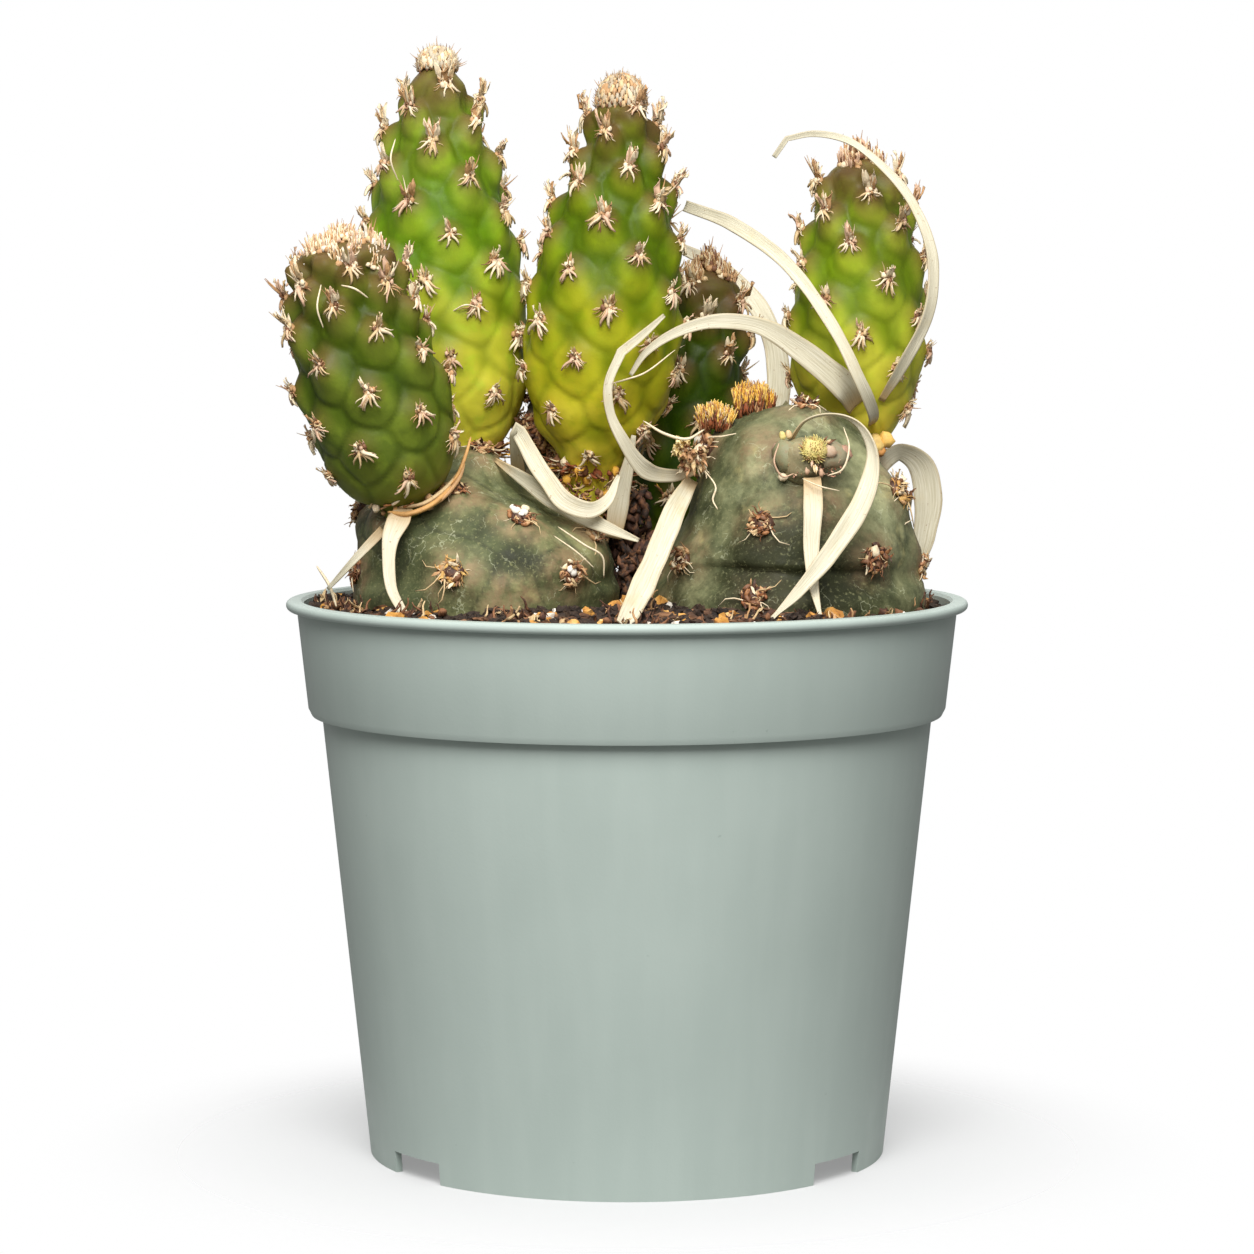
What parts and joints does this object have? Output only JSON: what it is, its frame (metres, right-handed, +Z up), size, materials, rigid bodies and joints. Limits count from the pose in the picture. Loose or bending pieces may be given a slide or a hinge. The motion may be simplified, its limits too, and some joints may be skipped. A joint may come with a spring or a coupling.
{
  "type": "potted cactus",
  "caption": "Potted cactus with jointed, tubercled stem segments, tufted spines and long flat papery spines, standing in a tapered plastic nursery pot filled with gritty soil.",
  "frame": {"origin": "centre of the pot's underside, on the surface that it stands on", "axes": "+Z up along the pot's axis, -Y towards the viewer of the picture, +X to the viewer's right"},
  "size_m": [0.1207, 0.12, 0.1971],
  "materials": {
    "pot_plastic": "satin grey-green moulded plastic",
    "potting_soil": "matt dark peat with white and orange grit",
    "old_skin": "matt grey-green old skin with scars",
    "young_skin": "satin green young skin, yellower at the root",
    "bud_skin": "matt grey-green bud with a yellow areole",
    "papery_spine": "matt cream papery blade"
  },
  "bodies": {
    "root": {"pot": "pot_plastic", "soil": "potting_soil", "old_segment_left": "old_skin", "old_segment_right": "old_skin", "segment_short_left": "young_skin", "segment_tall_left": "young_skin", "segment_tall_middle": "young_skin", "segment_rear": "young_skin", "segment_right": "young_skin", "bud_segment": "bud_skin", "papery_spine_left_front": "papery_spine", "papery_spine_left_thin": "papery_spine", "papery_spine_middle_bent": "papery_spine", "papery_spine_middle_low": "papery_spine", "papery_spine_middle_short": "papery_spine", "papery_spine_middle_curl": "papery_spine", "papery_spine_front_straight": "papery_spine", "papery_spine_right_hanging": "papery_spine", "papery_spine_right_loop": "papery_spine", "papery_spine_right_arch": "papery_spine", "papery_spine_right_long": "papery_spine", "papery_spine_right_hook": "papery_spine", "papery_spine_rear_broad": "papery_spine", "papery_spine_rear_right": "papery_spine"}
  },
  "joints": []
}
